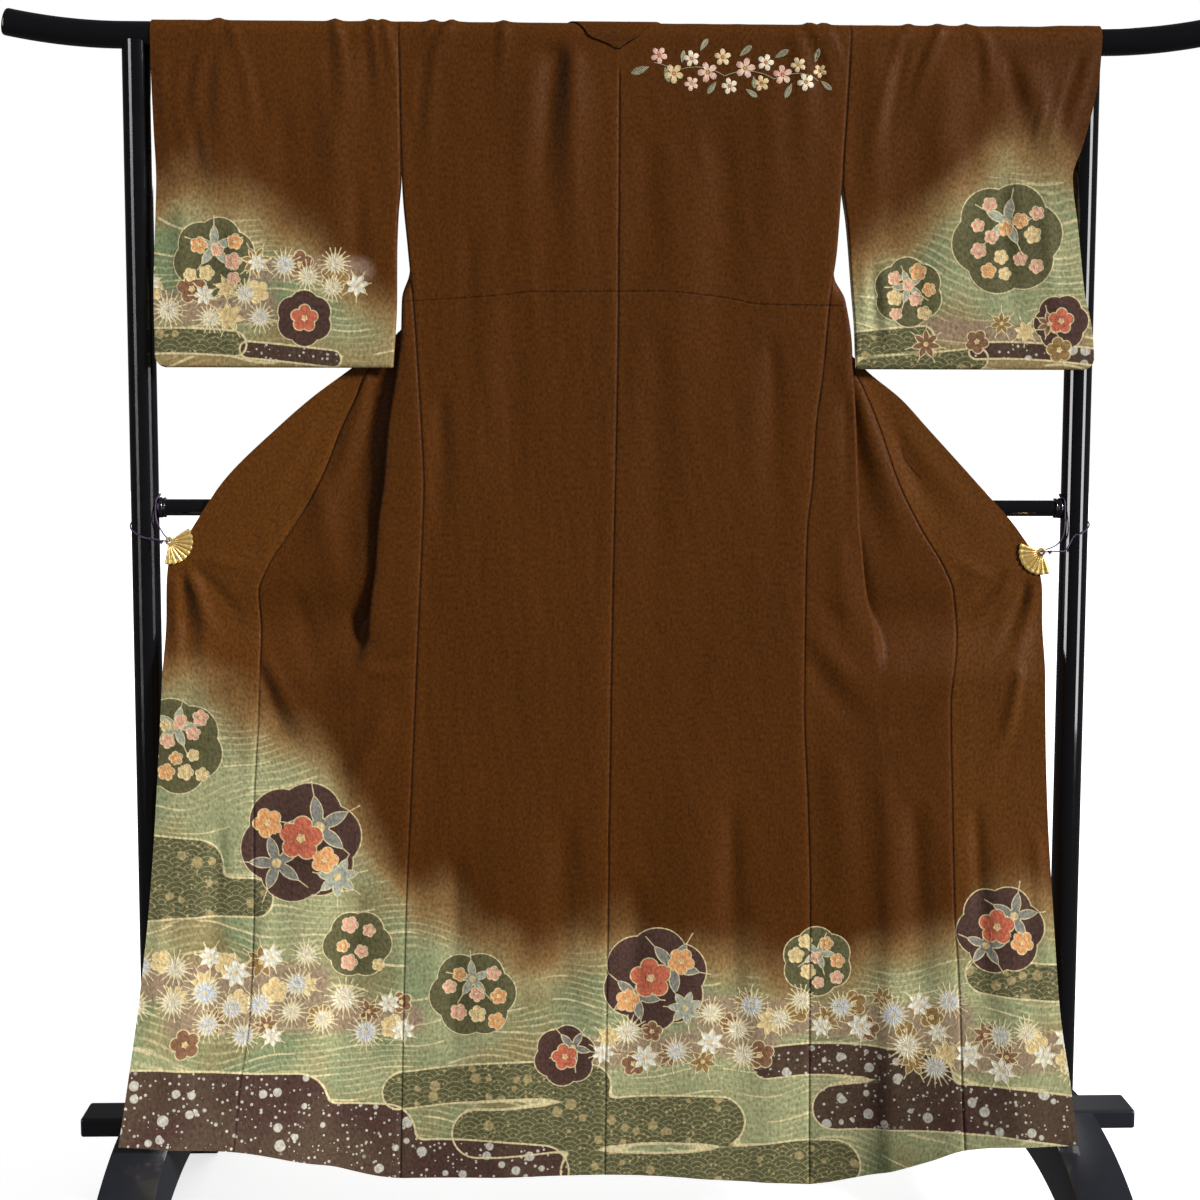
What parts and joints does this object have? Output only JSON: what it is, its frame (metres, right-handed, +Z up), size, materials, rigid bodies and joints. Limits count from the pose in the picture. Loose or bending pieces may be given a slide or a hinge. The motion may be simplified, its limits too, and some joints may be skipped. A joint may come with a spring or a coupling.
{
  "type": "kimono on a kimono stand",
  "caption": "Silk kimono with deep sleeves hung by its shoulders over the rod of a lacquered kimono stand, its front panels drawn outwards by clips.",
  "frame": {"origin": "on the floor, under the middle of the stand", "axes": "+Z up, +X along the rod to the right as the garment's back is seen, the garment's back faces -Y"},
  "size_m": [1.7232, 0.7792, 1.7839],
  "materials": {
    "body_silk": "brown silk crepe, soft sheen",
    "okumi_silk": "brown silk crepe, soft sheen",
    "sleeve_silk": "brown silk crepe, soft sheen",
    "collar_silk": "brown silk crepe, soft sheen",
    "frame_lacquer": "high gloss black lacquer",
    "base_lacquer": "satin blue-black lacquer",
    "gold_clip": "polished gold plate",
    "violet_cord": "twisted silk cord"
  },
  "bodies": {
    "root": {"body_left": "body_silk", "body_right": "body_silk", "okumi_left": "okumi_silk", "okumi_right": "okumi_silk", "sleeve_left": "sleeve_silk", "sleeve_right": "sleeve_silk", "collar": "collar_silk", "top_bar": "frame_lacquer", "post_left": "frame_lacquer", "post_right": "frame_lacquer", "crossbar": "frame_lacquer", "ferrule_left": "frame_lacquer", "ferrule_right": "frame_lacquer", "base_bar": "base_lacquer", "foot_left": "base_lacquer", "foot_right": "base_lacquer", "clip_left_fan": "gold_clip", "clip_left_jaw": "gold_clip", "clip_left_pin": "gold_clip", "clip_right_fan": "gold_clip", "clip_right_jaw": "gold_clip", "clip_right_pin": "gold_clip", "cord_left": "violet_cord", "cord_right": "violet_cord", "knot_left": "violet_cord", "knot_right": "violet_cord"}
  },
  "joints": []
}
